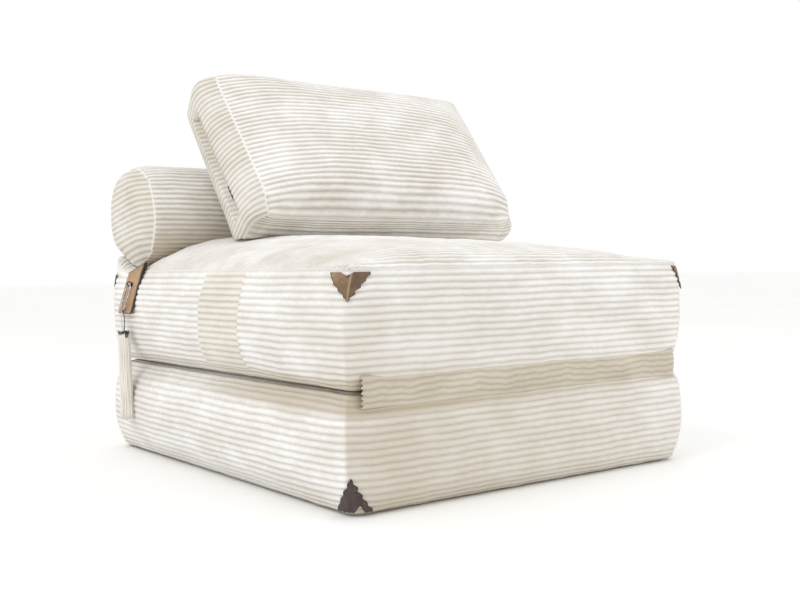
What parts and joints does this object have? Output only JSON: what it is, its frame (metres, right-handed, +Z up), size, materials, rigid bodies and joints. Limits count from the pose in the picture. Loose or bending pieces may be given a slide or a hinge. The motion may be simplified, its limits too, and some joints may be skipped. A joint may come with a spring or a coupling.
{
  "type": "folding sofa bed",
  "caption": "Folding sofa bed of two stacked foam sections joined by a front fabric band, with a back bolster, a loose box pillow and a hanging leather tag with a tassel.",
  "frame": {"origin": "middle of the underside, on the floor", "axes": "+X runs from left to right as seen from in front, +Y runs to the back, +Z is up"},
  "size_m": [0.9275, 0.9908, 0.8332],
  "materials": {
    "corduroy": "ribbed pile",
    "band_fabric": "ribbed pile, shaded",
    "wadding": "matte",
    "foam": "matte open cells",
    "base_cloth": "matte with small grip dots",
    "corner_leather": "semi-matte",
    "tag_leather": "semi-matte",
    "bright_metal": "polished",
    "zip_tape": "woven",
    "zip_metal": "satin",
    "dark_cord": "braided",
    "tassel_yarn": "soft yarn"
  },
  "bodies": {
    "lower_section": {"lower_cover": "corduroy", "lower_wadding": "wadding", "lower_foam": "foam", "base_cloth": "base_cloth", "lower_corner_patch": "corner_leather", "front_band_lower": "band_fabric", "lower_zip": "zip_tape"},
    "upper_section": {"upper_cover": "corduroy", "upper_wadding": "wadding", "upper_foam": "foam", "side_band": "corduroy", "upper_corner_patches": "corner_leather", "front_band_upper": "band_fabric", "upper_zip": "zip_tape", "seat_strip": "band_fabric", "tag_tail": "tag_leather"},
    "bolster": {"bolster_cover": "corduroy", "bolster_fill": "wadding", "bolster_strip": "band_fabric", "bolster_zip": "zip_tape"},
    "pillow": {"pillow_cover": "corduroy", "pillow_fill": "wadding", "pillow_zip": "zip_tape"},
    "tag": {"leather_tag": "tag_leather", "tag_rivet": "bright_metal"},
    "clasp": {"snap_ring": "bright_metal"},
    "clasp_gate": {"snap_ring_gate": "bright_metal"},
    "tassel": {"tassel_ring": "bright_metal", "tassel_loop": "dark_cord", "tassel_cap": "dark_cord", "tassel_skirt": "tassel_yarn"},
    "lower_slider": {"lower_zip_slider": "zip_metal"},
    "lower_pull": {"lower_zip_pull": "zip_metal"},
    "upper_slider": {"upper_zip_slider": "zip_metal"},
    "upper_pull": {"upper_zip_pull": "zip_metal"},
    "bolster_slider": {"bolster_zip_slider": "zip_metal"},
    "bolster_pull": {"bolster_zip_pull": "zip_metal"},
    "pillow_slider": {"pillow_zip_slider": "zip_metal"},
    "pillow_pull": {"pillow_zip_pull": "zip_metal"}
  },
  "joints": [
    {"name": "unfold", "type": "hinge", "parent": "lower_section", "child": "upper_section", "pos_m": [0, -0.4956, 0.20215], "axis": [1, 0, 0], "range_deg": [0, 180]},
    {"name": "bolster_fold", "type": "hinge", "parent": "upper_section", "child": "bolster", "pos_m": [0, 0.493, 0.408], "axis": [-1, 0, 0], "range_deg": [0, 180]},
    {"name": "pillow_lift", "type": "slide", "parent": "upper_section", "child": "pillow", "axis": [0, 0, 1], "range_m": [0, 0.35]},
    {"name": "tag_lift", "type": "hinge", "parent": "upper_section", "child": "tag", "pos_m": [-0.40735, 0.341, 0.418], "axis": [0, 1, 0], "range_deg": [0, 100]},
    {"name": "clasp_swing", "type": "hinge", "parent": "tag", "child": "clasp", "pos_m": [-0.42906, 0.341, 0.37557], "axis": [0, 1, 0], "range_deg": [0, 90]},
    {"name": "gate_press", "type": "hinge", "parent": "clasp", "child": "clasp_gate", "pos_m": [-0.44194, 0.3298, 0.33475], "axis": [-0.9537, 0, 0.3007], "range_deg": [0, 20], "stiffness_Nm_per_rad": 0.02},
    {"name": "tassel_swing", "type": "hinge", "parent": "clasp", "child": "tassel", "pos_m": [-0.44603, 0.341, 0.32178], "axis": [1, 0, 0], "range_deg": [-30, 30]},
    {"name": "lower_zip_run", "type": "slide", "parent": "lower_section", "child": "lower_slider", "axis": [-1, 0, 0], "range_m": [0, 0.48]},
    {"name": "lower_pull_swing", "type": "hinge", "parent": "lower_slider", "child": "lower_pull", "pos_m": [0.247, 0.4929, 0.0995], "axis": [0, 0, -1], "range_deg": [0, 180]},
    {"name": "upper_zip_run", "type": "slide", "parent": "upper_section", "child": "upper_slider", "axis": [-1, 0, 0], "range_m": [0, 0.48]},
    {"name": "upper_pull_swing", "type": "hinge", "parent": "upper_slider", "child": "upper_pull", "pos_m": [0.247, 0.4929, 0.31465], "axis": [0, 0, -1], "range_deg": [0, 180]},
    {"name": "bolster_zip_run", "type": "slide", "parent": "bolster", "child": "bolster_slider", "axis": [-1, 0, 0], "range_m": [0, 0.52]},
    {"name": "bolster_pull_swing", "type": "hinge", "parent": "bolster_slider", "child": "bolster_pull", "pos_m": [0.267, 0.48094, 0.56318], "axis": [0, 0.3827, -0.9239], "range_deg": [0, 180]},
    {"name": "pillow_zip_run", "type": "slide", "parent": "pillow", "child": "pillow_slider", "axis": [-0.0592, 0.5633, 0.8241], "range_m": [-0.035, 0.165]},
    {"name": "pillow_pull_swing", "type": "hinge", "parent": "pillow_slider", "child": "pillow_pull", "pos_m": [-0.28453, 0.13753, 0.57458], "axis": [-0.0861, 0.8196, -0.5664], "range_deg": [0, 180]}
  ]
}
